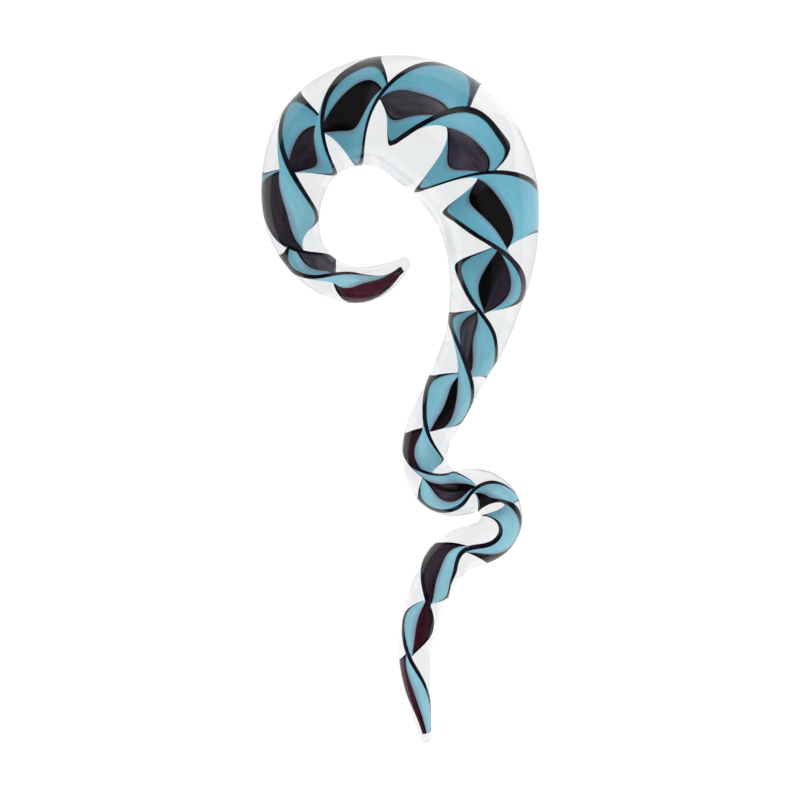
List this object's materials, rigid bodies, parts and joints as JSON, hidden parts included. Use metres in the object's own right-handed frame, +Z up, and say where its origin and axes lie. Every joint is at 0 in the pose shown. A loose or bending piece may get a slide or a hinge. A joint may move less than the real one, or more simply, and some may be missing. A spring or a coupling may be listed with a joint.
{
  "type": "spiral ear taper",
  "caption": "Tapered clear glass ear spiral with a hook, a small loop and a pointed tail, around a twisted dark ribbon with teal stripes.",
  "frame": {"origin": "under the middle of the taper's box, on the surface it lies flat on", "axes": "+Y along the taper from the tail's end to the hook's crown, +X across the hook towards the stem, +Z up from the surface it lies on"},
  "size_m": [0.0238, 0.059, 0.011],
  "materials": {
    "clear_glass": "clear, polished",
    "dark_glass": "near black with a purple cast, polished",
    "teal_glass": "teal, polished"
  },
  "bodies": {
    "root": {"clear_casing": "clear_glass", "dark_core": "dark_glass", "teal_stripe_first_front": "teal_glass", "teal_stripe_first_back": "teal_glass", "teal_stripe_second_front": "teal_glass", "teal_stripe_second_back": "teal_glass"}
  },
  "joints": []
}
